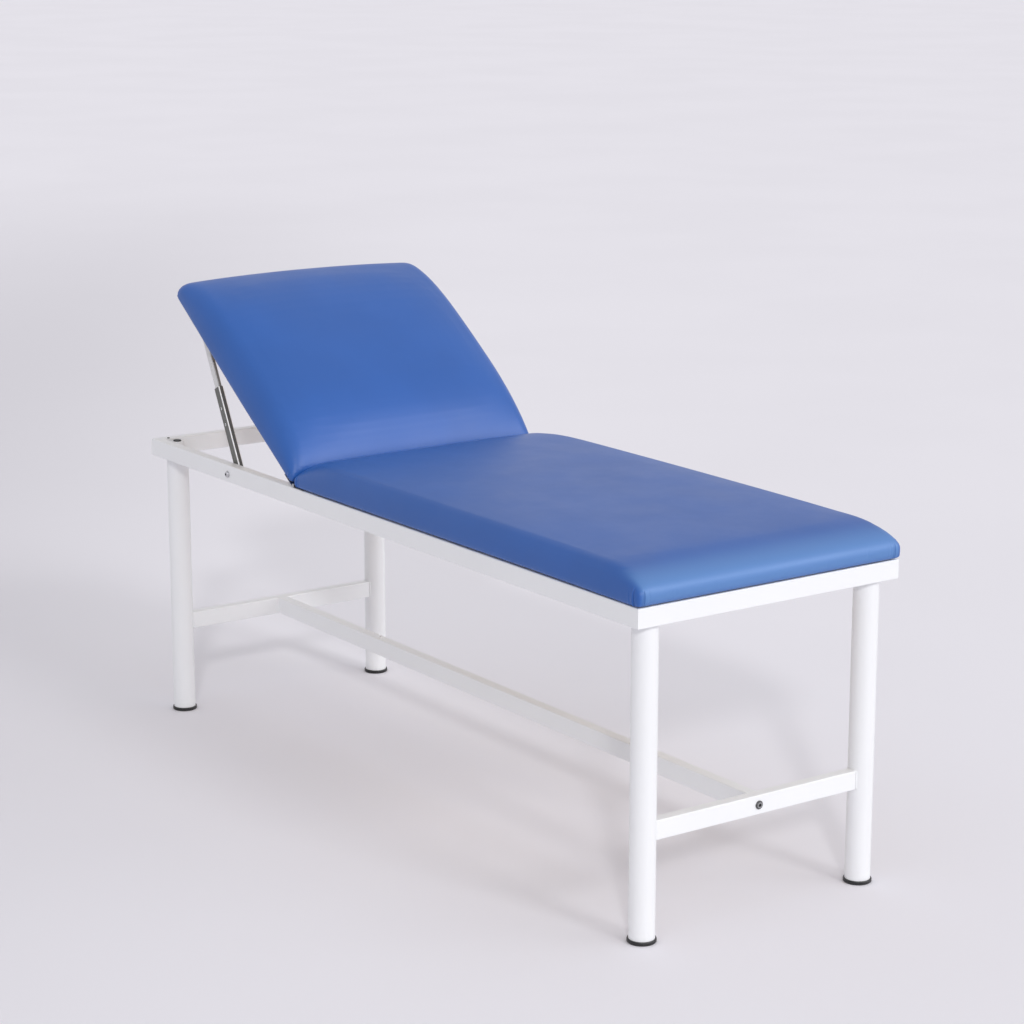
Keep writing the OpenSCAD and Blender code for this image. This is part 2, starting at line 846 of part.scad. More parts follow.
module strut_bracket() {
    x = eye_flat[0];
    half = inner_t / 2 + ear_gap;
    plate_z = board_z - bracket_t;
    color(steel) raised() difference() {
        union() {
            translate([x - bracket_l / 2, -strut_y - bracket_w / 2, plate_z])
                cube([bracket_l, bracket_w, bracket_t]);
            for (y = [-half - ear_t, half]) translate([x, y - strut_y, 0]) {
                translate([-ear_r, 0, eye_flat[1]]) cube([2 * ear_r, ear_t, board_z - eye_flat[1]]);
                translate([0, 0, eye_flat[1]]) bar_y(2 * ear_r, ear_t);
            }
        }
        translate([x, -strut_y - bracket_w / 2 - over, eye_flat[1]])
            bar_y(pivot_d + 2 * pin_play, bracket_w + 2 * over);
        for (s = [-1, 1]) translate([x + s * bracket_screw, -strut_y, plate_z - over])
            cylinder(d = screw_d + 2 * fit, h = bracket_t + 2 * over);
    }
}

module strut_bracket_near() {
    strut_bracket();
}

module strut_bracket_far() {
    far() strut_bracket();
}

module strut_bracket_screws() {
    head_z = board_z - bracket_t - bracket_screw_head_h;
    color(steel) raised() at_bracket_screws() translate([0, 0, head_z]) {
        cylinder(d = screw_head_d, h = bracket_screw_head_h);
        cylinder(d = screw_d, h = board_z + bracket_screw_in - head_z);
    }
}

module strut_bolts() {
    ball = (pow(dome_d / 2, 2) + pow(dome_h, 2)) / (2 * dome_h);
    shank = rail_w + strut_space + outer_t + nut_play + nut_t + bolt_tip;
    color(steel) both() translate([pivot_x, -fy, pivot_z]) {
        bar_y(pivot_d, shank);
        intersection() {
            translate([0, ball - dome_h, 0]) sphere(r = ball);
            translate([0, -dome_h - over, 0]) bar_y(2 * dome_d, dome_h + over);
        }
    }
}

module strut_spacers() {
    color(steel) both() translate([pivot_x, spacer_play - inner_y, pivot_z]) difference() {
        bar_y(spacer_d, strut_space - 2 * spacer_play);
        translate([0, -over, 0]) bar_y(pivot_d + 2 * fit, strut_space + 2 * over);
    }
}

module strut_nuts() {
    y = outer_t / 2 + nut_play;
    color(steel) both() translate([pivot_x, y - strut_y, pivot_z]) difference() {
        rotate([-90, 0, 0]) cylinder(d = pivot_d * nut_share, h = nut_t, $fn = 6);
        translate([0, -over, 0]) bar_y(pivot_d + 2 * fit, nut_t + 2 * over);
    }
}

// A hollow bar along the strut, from one place to another, with a round end about an eye
module strut_tube(from, to, w, t, wall, r, eye, side) {
    l = to - from;
    intersection() {
        translate([from, 0, 0]) rotate([90, 0, 90]) linear_extrude(l) difference() {
            rounded(t, w, r);
            square([t - 2 * wall, w - 2 * wall], center = true);
        }
        translate([eye, -t, 0]) {
            bar_y(w, 2 * t);
            translate([side > 0 ? 0 : -l, 0, -w]) cube([l, 2 * t, 2 * w]);
        }
    }
}

module strut_outer() {
    window = spring_x + spring_l - tooth_l;
    color(steel) along_strut() difference() {
        strut_tube(-outer_w / 2, outer_l, outer_w, outer_t, outer_wall, outer_r, 0, 1);
        translate([0, -outer_t, 0]) bar_y(pivot_d + 2 * run_fit, 2 * outer_t);
        translate([window - window_play, 0, -tooth_w / 2 - window_play])
            cube([tooth_l + 2 * window_play, outer_t, tooth_w + 2 * window_play]);
    }
}

module strut_outer_near() {
    strut_outer();
}

module strut_outer_far() {
    far() strut_outer();
}

// The ratchet's leaf spring on the channel's inner side, with its tooth in the window
module ratchet_spring() {
    tooth = outer_wall - tooth_play;
    color(steel) along_strut() translate([spring_x, outer_t / 2, 0]) {
        translate([0, 0, -spring_w / 2]) cube([spring_l, spring_t, spring_w]);
        translate([spring_l - tooth_l, -tooth, -tooth_w / 2]) cube([tooth_l, tooth + spring_t, tooth_w]);
        for (k = [1, 3]) translate([k * rivet_d, 0, 0]) bar_y(rivet_d, spring_t + rivet_h);
    }
}

module ratchet_spring_near() {
    ratchet_spring();
}

module ratchet_spring_far() {
    far() ratchet_spring();
}

module strut_inner() {
    start = strut_l - inner_l;
    color(steel) along_strut() difference() {
        strut_tube(start, strut_l + inner_w / 2, inner_w, inner_t, inner_wall, inner_r, strut_l, -1);
        translate([strut_l, -inner_t, 0]) bar_y(pivot_d + 2 * fit, 2 * inner_t);
        for (k = [0:notch_n - 1])
            translate([start + notch_first + k * notch_pitch, 0, -notch_w / 2])
                cube([notch_l, inner_t, notch_w]);
    }
}

module strut_inner_near() {
    strut_inner();
}

module strut_inner_far() {
    far() strut_inner();
}

module strut_pin() {
    half = inner_t / 2 + ear_gap - pin_play;
    color(steel) along_strut() translate([strut_l, -half, 0]) bar_y(pivot_d, 2 * half);
}

module strut_pin_near() {
    strut_pin();
}

module strut_pin_far() {
    far() strut_pin();
}

side_rail_near();
side_rail_far();
head_rail();
foot_rail();
cross_members();
corner_plates();
corner_bosses();
leg_bolts();
boss_caps();
rest_buffers();
leg_head_near();
leg_head_far();
leg_foot_near();
leg_foot_far();
leg_plates();
glide_head_near();
glide_head_far();
glide_foot_near();
glide_foot_far();
head_stretcher();
foot_stretcher();
long_stretcher();
stretcher_plates();
stretcher_bolt_head();
stretcher_bolt_foot();
stretcher_plug();
seat_board();
seat_foam();
seat_cover();
seat_pads();
seat_screws();
back_board();
back_foam();
back_cover();
hinge_fixed_leaves();
hinge_moving_leaves();
hinge_pins();
hinge_rail_screws();
hinge_board_screws();
strut_bracket_near();
strut_bracket_far();
strut_bracket_screws();
strut_bolts();
strut_spacers();
strut_nuts();
strut_outer_near();
strut_outer_far();
ratchet_spring_near();
ratchet_spring_far();
strut_inner_near();
strut_inner_far();
strut_pin_near();
strut_pin_far();
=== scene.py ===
"""Looks of the examination table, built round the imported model.

Metres, +X from the head end to the foot end, -Y near, +Z up.
"""
import json
import math
import random

import bmesh
import bpy
import numpy as np
from mathutils import Matrix, Vector


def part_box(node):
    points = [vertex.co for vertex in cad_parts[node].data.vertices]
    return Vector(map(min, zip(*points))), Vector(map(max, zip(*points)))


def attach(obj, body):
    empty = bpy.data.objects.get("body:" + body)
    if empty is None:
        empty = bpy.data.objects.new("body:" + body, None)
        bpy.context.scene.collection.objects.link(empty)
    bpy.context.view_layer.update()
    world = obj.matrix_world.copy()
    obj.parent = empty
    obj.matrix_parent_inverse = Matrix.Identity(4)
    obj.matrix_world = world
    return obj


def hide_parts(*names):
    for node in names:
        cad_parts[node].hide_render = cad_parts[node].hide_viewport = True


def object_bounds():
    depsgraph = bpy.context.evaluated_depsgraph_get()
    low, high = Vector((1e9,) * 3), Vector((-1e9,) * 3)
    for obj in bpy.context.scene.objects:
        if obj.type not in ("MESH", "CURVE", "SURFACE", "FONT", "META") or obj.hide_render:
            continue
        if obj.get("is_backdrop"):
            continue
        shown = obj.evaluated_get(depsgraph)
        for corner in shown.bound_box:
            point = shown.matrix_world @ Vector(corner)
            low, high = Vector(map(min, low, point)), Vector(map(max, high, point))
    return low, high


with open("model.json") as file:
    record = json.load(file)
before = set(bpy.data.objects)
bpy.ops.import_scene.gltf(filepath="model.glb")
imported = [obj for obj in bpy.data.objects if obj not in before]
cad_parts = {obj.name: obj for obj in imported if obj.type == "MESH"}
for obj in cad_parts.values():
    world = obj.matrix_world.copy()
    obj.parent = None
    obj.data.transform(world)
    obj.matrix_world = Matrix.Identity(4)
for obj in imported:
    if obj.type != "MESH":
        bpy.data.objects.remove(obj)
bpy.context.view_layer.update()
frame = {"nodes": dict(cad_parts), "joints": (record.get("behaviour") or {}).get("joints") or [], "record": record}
scene = bpy.context.scene
MM = 0.001
UNDERSIDE = 0.676  # the cushions' underside, lowered
HALF_FRAME = 0.325

# Shader writing


class Wire:
    """An output socket. Arithmetic on it adds Math nodes."""

    def __init__(self, finish, socket):
        self.finish, self.socket = finish, socket

    def _maths(self, operation, a, b=0.0):
        return self.finish.node("ShaderNodeMath", {"operation": operation}, a, b)

    def __add__(self, other):
        return self._maths("ADD", self, other)

    def __radd__(self, other):
        return self._maths("ADD", other, self)

    def __sub__(self, other):
        return self._maths("SUBTRACT", self, other)

    def __rsub__(self, other):
        return self._maths("SUBTRACT", other, self)

    def __mul__(self, other):
        return self._maths("MULTIPLY", self, other)

    def __rmul__(self, other):
        return self._maths("MULTIPLY", other, self)

    def __abs__(self):
        return self._maths("ABSOLUTE", self)

    def largest(self, other):
        return self._maths("MAXIMUM", self, other)

    def between(self, low, high, start=0.0, end=1.0):
        """Runs smoothly from start at low to end at high, and stays there outside them."""
        settings = {"interpolation_type": "SMOOTHSTEP"}
        return self.finish.node("ShaderNodeMapRange", settings, self, low, high, start, end)


class Finish:
    """A node tree and the calls that add to it."""

    def __init__(self, name, tree=None):
        if tree is None:
            self.material = bpy.data.materials.new(name)
            self.material.use_nodes = True
            tree = self.material.node_tree
        self.tree = tree
        tree.nodes.clear()

    def node(self, kind, settings, *inputs, output=0, **named):
        made = self.tree.nodes.new(kind)
        for key, value in settings.items():
            setattr(made, key, value)
        for key, value in [*enumerate(inputs), *named.items()]:
            socket = made.inputs[key.replace("_", " ") if isinstance(key, str) else key]
            if isinstance(value, Wire):
                self.tree.links.new(value.socket, socket)
            elif value is not None:
                socket.default_value = value
        return Wire(self, made.outputs[output]) if made.outputs else None

    def place(self, stretch=(1.0, 1.0, 1.0)):
        """The piece's own coordinates in metres, scaled along the axes."""
        own = self.node("ShaderNodeTexCoord", {}, output="Object")
        return self.node("ShaderNodeVectorMath", {"operation": "MULTIPLY"}, own, stretch)

    def noise(self, scale, detail=2.0, roughness=0.5, stretch=(1.0, 1.0, 1.0), distortion=0.0):
        return self.node("ShaderNodeTexNoise", {}, self.place(stretch), Scale=scale, Detail=detail,
                         Roughness=roughness, Distortion=distortion)

    def cells(self, scale, smooth=0.0):
        settings = {"feature": "SMOOTH_F1" if smooth else "F1"}
        named = {"Smoothness": smooth} if smooth else {}
        return self.node("ShaderNodeTexVoronoi", settings, self.place(), Scale=scale, **named)

    def colour(self, rgb):
        return (*rgb, 1.0)

    def mix(self, factor, a, b):
        """Colour a where the factor is 0, colour b where it is 1."""
        a, b = (c if isinstance(c, Wire) else self.colour(c) for c in (a, b))
        other_forms = [None] * 5  # the sockets of its number and vector forms
        return self.node("ShaderNodeMix", {"data_type": "RGBA"}, factor, *other_forms, a, b, output=2)

    def part(self, kind, axis):
        """One number of the surface's place or of its normal."""
        if kind == "normal":
            source = self.node("ShaderNodeNewGeometry", {}, output="Normal")
        else:
            source = self.place()
        return self.node("ShaderNodeSeparateXYZ", {}, source, output=axis)

    def bump(self, height, distance, strength=1.0, under=None):
        return self.node("ShaderNodeBump", {}, Strength=strength, Distance=distance, Height=height,
                         Normal=under)

    def surface(self, colour, roughness, **named):
        shader = self.node("ShaderNodeBsdfPrincipled", {}, Base_Color=colour, Roughness=roughness, **named)
        self.node("ShaderNodeOutputMaterial", {}, shader)
        return self.material


def linear(red, green, blue):
    """A colour given in the 0 to 255 steps of a picture, as light."""
    steps = [c / 255 for c in (red, green, blue)]
    return tuple(c / 12.92 if c <= 0.04045 else ((c + 0.055) / 1.055) ** 2.4 for c in steps)


def dimmed(colour, share):
    return tuple(c * share for c in colour)


# Finishes


def painted_highlight_on_foot_roll(f):
    """A painted highlight: the vinyl is lightened in a band, most over the outer side of the foot roll, not round
    its corners.
    """
    along = f.part("place", 0).between(0.872, 0.948)
    up = f.part("place", 2).between(UNDERSIDE - 12 * MM, UNDERSIDE + 16 * MM)
    across = abs(f.part("place", 1))
    off_corners = across.between(HALF_FRAME - 13 * MM, HALF_FRAME + 1.5 * MM, 1.0, 0.0)
    return along * up * off_corners


def blue_vinyl():
    f = Finish("blue_vinyl")
    blue = linear(38, 91, 168)
    cloudy = f.noise(5.0, 3.0)
    fine = f.noise(70.0, 3.0)
    tint = f.mix(cloudy.between(0.35, 0.65), dimmed(blue, 0.97), dimmed(blue, 1.03))
    tint = f.mix(fine * 0.2, tint, dimmed(blue, 0.9))
    # Painted highlight: the band over the foot roll is tinted lighter and made a little rougher
    roll_highlight = painted_highlight_on_foot_roll(f)
    tint = f.mix(roll_highlight, tint, linear(86, 129, 188))
    grain = f.cells(950.0, smooth=0.6)
    pores = f.noise(2600.0, 2.0)
    dents = f.noise(16.0, 2.0, 0.5)
    rub = f.noise(9.0, 4.0, 0.6)
    roughness = rub.between(0.3, 0.7, 0.37, 0.42) + (grain - 0.4) * 0.04 + roll_highlight * 0.06
    normal = f.bump(dents, 0.7 * MM, 0.4)
    normal = f.bump(grain * 0.8 + pores * 0.2, 0.12 * MM, 0.4, normal)
    return f.surface(tint, roughness, Normal=normal, Specular_IOR_Level=0.5)


def white_powder_coat():
    f = Finish("white_powder_coat")
    white = linear(240, 241, 243)
    drift = f.noise(3.0, 2.0)
    specks = f.noise(420.0, 2.0).between(0.66, 0.74)
    dust = f.part("normal", 2).between(0.6, 1.0) * f.noise(30.0, 4.0).between(0.35, 0.75)
    tint = f.mix(drift.between(0.3, 0.7), dimmed(white, 0.985), white)
    tint = f.mix(specks * 0.05 + dust * 0.04, tint, linear(196, 194, 190))
    peel = f.noise(380.0, 1.0, 0.4)
    roughness = f.noise(60.0, 3.0).between(0.3, 0.7, 0.30, 0.37)
    normal = f.bump(peel, 0.12 * MM, 0.35)
    return f.surface(tint, roughness, Normal=normal, Specular_IOR_Level=0.5)


def moulded_plastic(name, shade, roughness, dusty_below=0.0):
    """Black plastic, greyer from dust below a height over the floor."""
    f = Finish(name)
    mottle = f.noise(260.0, 3.0)
    grey = mottle.between(0.4, 0.8) * 0.3
    if dusty_below:
        grey = grey + f.part("place", 2).between(0.0, dusty_below, 1.0, 0.0) * 0.25
    tint = f.mix(grey, linear(*shade), linear(78, 76, 74))
    rough = mottle.between(0.3, 0.7, roughness - 0.05, roughness + 0.1)
    normal = f.bump(f.noise(1500.0, 2.0), 0.05 * MM, 0.5)
    return f.surface(tint, rough, Normal=normal, Specular_IOR_Level=0.45)


def bright_zinc():
    f = Finish("bright_zinc")
    zinc = linear(186, 188, 190)
    patches = f.cells(330.0)
    scratches = f.noise(900.0, 3.0, 0.6, (1.0, 0.08, 1.0))
    tint = f.mix(patches.between(0.2, 0.8) * 0.6, zinc, dimmed(zinc, 0.78))
    roughness = scratches.between(0.3, 0.7, 0.22, 0.36)
    return f.surface(tint, roughness, Metallic=1.0, Normal=f.bump(scratches, 0.03 * MM, 0.6))


def strut_steel(name, face, edge, shaded_side_tone):
    """Drawn steel with brushed faces, and painted light: the rounded edges and the side faces get tones of their
    own as painted highlight and painted shade, and faces turned to the head end are darkened as painted shade.
    """
    f = Finish(name)
    across = abs(f.part("normal", 1))
    # Painted light on the rounded edges, and a painted shade on the side faces across the strut
    painted_edge_mask = across.between(0.16, 0.42) * across.between(0.86, 0.98, 1.0, 0.0)
    streaks = f.noise(700.0, 3.0, 0.6, (0.05, 1.0, 0.05))
    flat = f.mix(across.between(0.4, 0.6), linear(*shaded_side_tone), linear(*face))
    flat = f.mix(streaks.between(0.3, 0.75) * 0.35, flat, dimmed(linear(*face), 0.6))
    tint = f.mix(painted_edge_mask, flat, linear(*edge))
    # Painted shade: faces turned to the head end are darkened
    shade_to_head_end = f.part("normal", 0).between(-0.5, -0.2, 1.0, 0.0)
    tint = f.mix(shade_to_head_end * 0.8, tint, linear(70, 71, 72))
    roughness = streaks.between(0.3, 0.7, 0.26, 0.38)
    return f.surface(tint, roughness, Metallic=0.25, Normal=f.bump(streaks, 0.03 * MM, 0.5))


def blackened_steel():
    f = Finish("blackened_steel")
    wear = f.noise(500.0, 4.0).between(0.55, 0.75)
    tint = f.mix(wear * 0.5, linear(38, 38, 42), linear(96, 96, 98))
    normal = f.bump(f.noise(1200.0, 2.0), 0.03 * MM, 0.4)
    return f.surface(tint, wear.between(0.0, 1.0, 0.34, 0.45), Metallic=0.7, Normal=normal)


def socket_steel():
    """Black steel of the stretcher bolts, with a painted shade inside the drive socket and a painted highlight in
    a ring round it.
    """
    f = Finish("socket_steel")
    low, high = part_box("stretcher_bolt_foot")
    bolt_axis = Vector((0.0, 0.0, (low.z + high.z) / 2))
    flattened = f.place((0.0, 1.0, 1.0))
    reach = f.node("ShaderNodeVectorMath", {"operation": "DISTANCE"}, flattened, bolt_axis, output="Value")
    ring_highlight = reach.between(2.9 * MM, 4.1 * MM) * reach.between(5.4 * MM, 6.8 * MM, 1.0, 0.0)
    wear = f.noise(500.0, 4.0).between(0.4, 0.8)
    # Painted shade inside the drive socket, then a painted highlight in a ring round it
    tint = f.mix(reach.between(2.6 * MM, 3.2 * MM), linear(46, 46, 48), linear(82, 82, 84))
    tint = f.mix(ring_highlight, tint, linear(146, 146, 148))
    tint = f.mix(wear * 0.2, tint, linear(60, 60, 62))
    normal = f.bump(f.noise(1200.0, 2.0), 0.03 * MM, 0.4)
    return f.surface(tint, wear.between(0.0, 1.0, 0.34, 0.45), Metallic=0.3, Normal=normal)


def polished_chrome():
    f = Finish("polished_chrome")
    haze = f.noise(700.0, 3.0)
    tint = f.mix(haze.between(0.4, 0.8) * 0.4, linear(206, 207, 209), linear(150, 151, 153))
    return f.surface(tint, haze.between(0.3, 0.7, 0.12, 0.22), Metallic=1.0)


def plug_nylon():
    f = Finish("plug_nylon")
    cloudy = f.noise(300.0, 2.0).between(0.4, 0.7)
    tint = f.mix(cloudy * 0.5, linear(252, 252, 253), linear(244, 245, 247))
    return f.surface(tint, f.noise(80.0, 2.0).between(0.3, 0.7, 0.14, 0.20), Metallic=0.7)


def black_rubber():
    f = Finish("black_rubber")
    bloom = f.noise(120.0, 4.0).between(0.45, 0.8)
    tint = f.mix(bloom * 0.35, linear(36, 36, 37), linear(74, 73, 71))
    normal = f.bump(f.noise(900.0, 2.0), 0.08 * MM, 0.5)
    return f.surface(tint, 0.68, Normal=normal, Specular_IOR_Level=0.35)


def plywood():
    f = Finish("plywood")
    light, dark = linear(212, 188, 152), linear(178, 148, 112)
    rings = f.noise(22.0, 3.0, 0.5, (0.07, 1.0, 0.6), 0.5)
    pores = f.noise(620.0, 3.0, 0.6, (0.03, 1.0, 1.0))
    plies = f.node("ShaderNodeTexWave", {"bands_direction": "Z", "wave_profile": "SAW"}, f.place(),
                   Scale=52.0, Distortion=0.4, Detail=2.0)
    edge = 1.0 - abs(f.part("normal", 2)).between(0.4, 0.8)
    tint = f.mix(rings.between(0.25, 0.75), light, dark)
    tint = f.mix(pores.between(0.5, 0.75) * 0.5, tint, dimmed(dark, 0.6))
    tint = f.mix(plies.between(0.3, 0.7) * edge * 0.5, tint, dimmed(dark, 0.7))
    return f.surface(tint, pores.between(0.3, 0.7, 0.5, 0.66), Normal=f.bump(pores, 0.1 * MM, 0.4))


vinyl = blue_vinyl()
paint = white_powder_coat()
plastic = moulded_plastic("black_plastic", (34, 34, 36), 0.42)
glide_plastic = moulded_plastic("glide_plastic", (30, 30, 32), 0.38, dusty_below=2.0 * MM)
zinc = bright_zinc()
# Tones of face, rounded edge and side: on the channel the edge tone is a painted highlight, on the bar the edge
# and side tones are painted shade
channel_steel = strut_steel("channel_steel", (108, 109, 105), (246, 246, 246), (104, 108, 114))
bar_steel = strut_steel("bar_steel", (224, 224, 223), (176, 176, 177), (126, 130, 136))
black_oxide = blackened_steel()
chrome = polished_chrome()
bolt_steel = socket_steel()
rubber = black_rubber()
wood = plywood()

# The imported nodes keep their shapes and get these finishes

FINISHES = {
    "frame_paint": paint, "vinyl": vinyl, "plastic_black": plastic, "rubber_black": rubber,
    "zinc_steel": zinc, "black_steel": black_oxide, "plywood": wood, "foam": rubber,
}
OWN_FINISHES = {
    "strut_outer_near": channel_steel, "strut_outer_far": channel_steel,
    "strut_inner_near": bar_steel, "strut_inner_far": bar_steel,
    "stretcher_bolt_head": bolt_steel, "stretcher_bolt_foot": bolt_steel,
    "stretcher_plug": plug_nylon(),
}
slot_of = {row["node"]: row["material_slot"] for row in frame["record"]["subparts"]}
for name, node in frame["nodes"].items():
    finish = OWN_FINISHES.get(name, FINISHES[slot_of[name]])
    if name.startswith("glide_"):
        finish = glide_plastic
    for slot in node.material_slots:
        slot.material = finish

# Cushions

hinge = next(j for j in frame["joints"] if j["name"] == "backrest_hinge")
AXIS = Vector(hinge["pos_m"])
RAISE = math.radians(-hinge["range_deg"][0])
RAISED = Matrix.Translation(AXIS) @ Matrix.Rotation(RAISE, 4, "Y") @ Matrix.Translation(-AXIS)
BOARD_UNDERSIDE = 0.6772
HALF_WIDTH = 0.327
INNER_RADIUS = 8 * MM  # of the corners at the hinge, in plan
WIDEST = 12 * MM  # height of the widest line over the underside
DRAW_IN = 1 * MM  # of the base's edge, under the widest line
HINGE_ROLL = 0.170  # how far the hinge end's softer sides reach along the cushion
SLACK_EDGE = 0.150  # how far in from the edges the starting form sinks
BELLY_REACH = 0.080
BELLY_TOP = 0.060
NOSE_LENGTH = 0.110
NOSE_FADE = 0.050
NOSE_BASE = 3 * MM
NOSE_BASE_FADE = 8 * MM
NOSE_PASSES = 14
CLOTH_STEPS = 20
FOAM_GIVE = 0.3 * MM  # the most that the cover sinks
CREEP = 1 * MM  # the most that it slides along itself
EVENING_PASSES = 40
HEM = 21 * MM
PLEAT_REACH = 14 * MM  # how deep under the surface a pleat still pulls
PLEAT_FOOT = 4 * MM


class Pad:
    """One cushion's form, in metres, lowered: the same sizes as its packed cover.

    Side and top are heights over the underside. The edges are how far the rounding reaches in from the ends
    and the sides. The bows curve the sides and the outer end in plan. The bellies push them out over the
    frame.
    """

    def __init__(self, inner_end, outer_end, side, top, crown, end_edge, side_edge, bow, end_bow, radius,
                 end_belly, side_belly, hinge_edge, hinge_drop):
        self.outward = 1 if outer_end > inner_end else -1
        self.middle = (inner_end + outer_end) / 2
        self.half_l = abs(outer_end - inner_end) / 2
        self.side, self.top, self.crown = side, top, crown
        self.end_edge, self.side_edge = end_edge, side_edge
        self.bow, self.end_bow, self.radius = bow, end_bow, radius
        self.end_belly, self.side_belly = end_belly, side_belly
        self.hinge_edge, self.hinge_drop = hinge_edge, hinge_drop

    def rise(self, share):
        share = 1 - min(max(share, 0.0), 1.0)
        return (1 - share ** 2.2) ** (1 / 2.2)

    def surface(self, x, y, slack):
        """The padded surface over a place in plan. Slack lowers it away from its edges."""
        half_l, half_w = self.half_l, HALF_WIDTH
        from_end, from_side = half_l - abs(x), half_w - abs(y)
        at_hinge = max(0.0, 1 - (half_l + self.outward * x) / HINGE_ROLL) ** 1.5
        side = self.side - self.hinge_drop * at_hinge
        side_edge = self.side_edge + (self.hinge_edge - self.side_edge) * at_hinge
        in_from_end = self.rise(from_end / self.end_edge)
        z = side + (self.top - side) * in_from_end * self.rise(from_side / side_edge)
        z += self.crown * (1 - (x / half_l) ** 2) * (1 - (y / half_w) ** 4)
        z -= slack * self.rise(from_end / SLACK_EDGE) * self.rise(from_side / SLACK_EDGE)
        r = self.radius if self.outward * x > 0 else INNER_RADIUS
        dx = max(0.0, abs(x) - half_l + r) / r
        dy = max(0.0, abs(y) - half_w + r) / r
        px = math.copysign(abs(x) - dx * r + r * dx * math.sqrt(1 - dy * dy / 2), x)
        py = math.copysign(abs(y) - dy * r + r * dy * math.sqrt(1 - dx * dx / 2), y)
        to_outer_end = max(0.0, self.outward * px / half_l)
        bx = px + self.outward * self.end_bow * (1 - (py / half_w) ** 2) * to_outer_end
        by = py + self.bow * (1 - (px / half_l) ** 2) * py / half_w
        return px, py, bx, by, z


def lines(half, edge, count):
    """Grid lines over one direction, closer towards the rounded edges."""
    near = [edge * (k / 14) ** 2.2 for k in range(14)]
    middle = [edge + (half - edge) * k / count for k in range(count)]
    side = near + middle
    return [d - half for d in side] + [0.0] + [half - d for d in reversed(side)]


def start_form(name, pad, slack):
    """The closed form that the simulation starts from, a little lower than the cushion."""
    half_l, half_w = pad.half_l, HALF_WIDTH
    xs, ys = lines(half_l, pad.end_edge, 12), lines(half_w, pad.side_edge, 12)
    bm = bmesh.new()
    top, widest, base = {}, {}, {}
    for i, x in enumerate(xs):
        for j, y in enumerate(ys):
            px, py, bx, by, z = pad.surface(x, y, slack)
            top[i, j] = bm.verts.new((pad.middle + bx, by, UNDERSIDE + z))
            if i in (0, len(xs) - 1) or j in (0, len(ys) - 1):
                widest[i, j] = bm.verts.new((pad.middle + bx, by, UNDERSIDE + WIDEST))
                drawn_x, drawn_y = px * (1 - DRAW_IN / half_l), py * (1 - DRAW_IN / half_w)
                base[i, j] = bm.verts.new((pad.middle + drawn_x, drawn_y, UNDERSIDE))
    for i in range(len(xs) - 1):
        for j in range(len(ys) - 1):
            bm.faces.new([top[i, j], top[i + 1, j], top[i + 1, j + 1], top[i, j + 1]])
    end_x, end_y = len(xs) - 1, len(ys) - 1
    rim = ([(i, 0) for i in range(end_x)] + [(end_x, j) for j in range(end_y)]
           + [(i, end_y) for i in range(end_x, 0, -1)] + [(0, j) for j in range(end_y, 0, -1)])
    for a, b in zip(rim, rim[1:] + rim[:1]):
        bm.faces.new([top[b], top[a], widest[a], widest[b]])
        bm.faces.new([widest[b], widest[a], base[a], base[b]])
    bm.faces.new([base[k] for k in reversed(rim)])
    bmesh.ops.recalc_face_normals(bm, faces=bm.faces)
    mesh = bpy.data.meshes.new(name)
    bm.to_mesh(mesh)
    bm.free()
    piece = bpy.data.objects.new(name, mesh)
    scene.collection.objects.link(piece)
    return piece


def apply_modifiers(piece):
    """Puts the modified mesh in the modifiers' place."""
    modified = piece.evaluated_get(bpy.context.evaluated_depsgraph_get())
    made = bpy.data.meshes.new_from_object(modified)
    piece.modifiers.clear()
    old = piece.data
    piece.data = made
    bpy.data.meshes.remove(old)


def limited(way, most):
    return most * math.tanh(way / most)


def evened(piece, moves):
    """The cover's moves, each drawn towards its neighbours': the foam under it keeps it from buckling."""
    ends = np.empty(len(piece.data.edges) * 2, dtype=int)
    piece.data.edges.foreach_get("vertices", ends)
    one, two = ends.reshape(-1, 2).T
    here, there = np.concatenate((one, two)), np.concatenate((two, one))
    neighbours = np.bincount(here, minlength=len(moves))[:, None]
    for _ in range(EVENING_PASSES):
        sums = np.stack([np.bincount(here, moves[there, axis], len(moves)) for axis in range(3)], axis=1)
        moves = (moves + sums / neighbours) / 2
    return moves


def inflate(piece, held, free, swell):
    """Swells the pad as cloth under pressure.

    The board holds it below the height held and lets it go by the height free. The foam keeps it from
    sinking.
    """
    start = [(v.co.copy(), v.normal.copy()) for v in piece.data.vertices]
    board = piece.vertex_groups.new(name="board")
    for i, (p, _) in enumerate(start):
        share = (UNDERSIDE + free - p.z) / (free - held)
        if share > 0:
            board.add([i], min(1.0, share) ** 2, "REPLACE")
    cloth = piece.modifiers.new("cloth", "CLOTH")
    settings = cloth.settings
    settings.quality = 4
    settings.mass = 0.3
    settings.tension_stiffness = settings.compression_stiffness = 25
    settings.shear_stiffness = 12
    settings.bending_stiffness = 3
    settings.use_pressure = True
    settings.uniform_pressure_force = 4
    settings.effector_weights.gravity = 0
    settings.vertex_group_mass = "board"
    cloth.point_cache.frame_start, cloth.point_cache.frame_end = 1, CLOTH_STEPS
    for step in range(1, CLOTH_STEPS + 1):
        scene.frame_set(step)
    swollen = piece.evaluated_get(bpy.context.evaluated_depsgraph_get()).data
    moves = []
    for (point, normal), vertex in zip(start, swollen.vertices):
        change = vertex.co - point
        out = change.dot(normal)
        sideways = change - out * normal
        way = max(sideways.length, 1e-9)
        out = limited(out, swell if out > 0 else FOAM_GIVE)
        moves.append(normal * out + sideways * (limited(way, CREEP) / way))
    piece.modifiers.clear()
    piece.vertex_groups.clear()
    places = points(piece)
    loose = np.clip((places[:, 2] - UNDERSIDE) / held, 0, 1)[:, None]
    set_points(piece, places + evened(piece, np.array(moves)) * loose)
    scene.frame_set(1)


def points(piece):
    places = np.empty(len(piece.data.vertices) * 3)
    piece.data.vertices.foreach_get("co", places)
    return places.reshape(-1, 3)


def set_points(piece, places):
    piece.data.vertices.foreach_set("co", places.ravel())
    piece.data.update()


